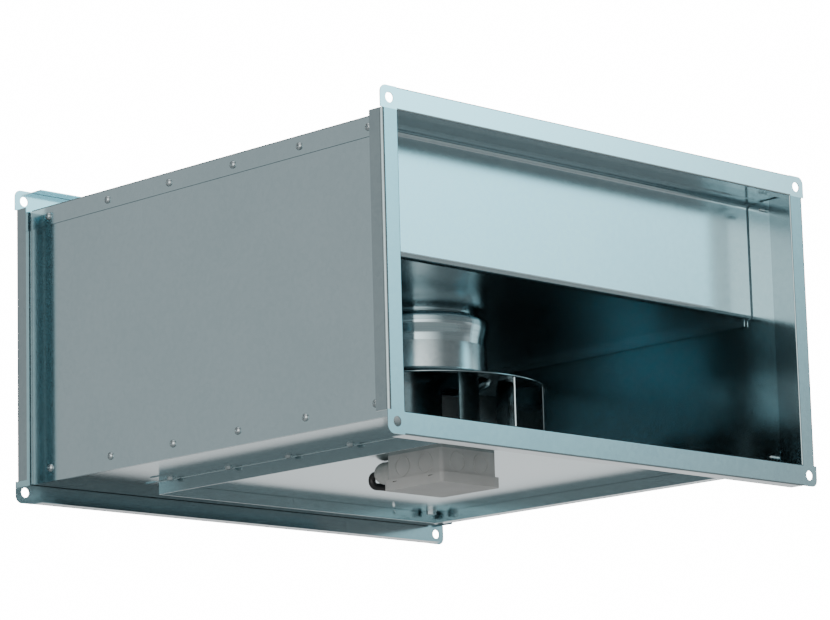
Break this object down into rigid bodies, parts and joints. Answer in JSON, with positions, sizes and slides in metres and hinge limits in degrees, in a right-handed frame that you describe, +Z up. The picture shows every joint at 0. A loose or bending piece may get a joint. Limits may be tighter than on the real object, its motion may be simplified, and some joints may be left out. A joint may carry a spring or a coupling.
{
  "type": "inline duct fan",
  "caption": "Rectangular inline duct fan: galvanised casing with bolt flanges, partition and inlet nozzle, backward-curved impeller on an external-rotor motor, service cover and terminal box.",
  "frame": {"origin": "centre of the outlet flange's outer face, on the duct's axis", "axes": "+X across the duct, +Y from the outlet flange to the inlet flange, +Z up, away from the service cover"},
  "size_m": [0.645, 0.575, 0.362],
  "materials": {
    "galvanised_sheet": "satin galvanised sheet",
    "spun_steel": "polished spun steel",
    "impeller_steel": "satin galvanised sheet",
    "zinc_fasteners": "zinc plated",
    "rotor_steel": "satin grey",
    "laminations": "varnished laminations",
    "ground_steel": "ground",
    "copper_winding": "enamelled copper",
    "cast_aluminium": "as cast",
    "grey_plastic": "fine moulded texture",
    "light_grey_plastic": "moulded",
    "white_plastic": "moulded",
    "brass_terminals": "nickel-free brass",
    "black_cable": "satin jacket",
    "black_rubber": "matte"
  },
  "bodies": {
    "casing": {"top_cover": "galvanised_sheet", "left_wall": "galvanised_sheet", "right_wall": "galvanised_sheet", "floor_panel": "galvanised_sheet", "side_screws": "zinc_fasteners", "outlet_top_rail": "galvanised_sheet", "outlet_bottom_rail": "galvanised_sheet", "outlet_left_stile": "galvanised_sheet", "outlet_right_stile": "galvanised_sheet", "inlet_top_rail": "galvanised_sheet", "inlet_bottom_rail": "galvanised_sheet", "inlet_left_stile": "galvanised_sheet", "inlet_right_stile": "galvanised_sheet", "partition": "galvanised_sheet", "inlet_baffle": "galvanised_sheet", "inlet_bellmouth": "spun_steel", "nozzle_cup": "spun_steel", "left_rail": "galvanised_sheet", "right_rail": "galvanised_sheet", "near_rail": "galvanised_sheet", "far_rail": "galvanised_sheet", "rail_screws": "zinc_fasteners", "cover_weld_nuts": "zinc_fasteners"},
    "fan_unit": {"service_cover": "galvanised_sheet", "cover_gasket": "black_rubber", "cover_bolts": "zinc_fasteners", "stator_hub": "cast_aluminium", "stator_core": "laminations", "stator_windings": "copper_winding", "upper_bearing": "ground_steel", "lower_bearing": "ground_steel", "motor_studs": "zinc_fasteners", "motor_nuts": "zinc_fasteners", "terminal_box": "grey_plastic", "terminal_screws": "zinc_fasteners", "terminal_block": "white_plastic", "block_screws": "brass_terminals", "capacitor": "white_plastic", "cable_gland": "light_grey_plastic", "gland_locknut": "light_grey_plastic", "motor_lead": "black_cable", "lead_grommet": "black_rubber"},
    "impeller": {"impeller_shroud": "impeller_steel", "impeller_blades": "impeller_steel", "impeller_backplate": "impeller_steel", "impeller_rivets": "zinc_fasteners", "rotor_cup": "rotor_steel", "rotor_core": "laminations", "motor_shaft": "ground_steel"},
    "terminal_lid": {"terminal_lid": "grey_plastic"}
  },
  "joints": [
    {"name": "cover_removal", "type": "slide", "parent": "casing", "child": "fan_unit", "axis": [0, 0, -1], "range_m": [0, 0.16]},
    {"name": "impeller_spin", "type": "hinge", "parent": "fan_unit", "child": "impeller", "pos_m": [0, 0.286, -0.1], "axis": [0, 0, 1], "continuous": true},
    {"name": "lid_removal", "type": "slide", "parent": "fan_unit", "child": "terminal_lid", "axis": [0, 0, -1], "range_m": [0, 0.04]}
  ]
}
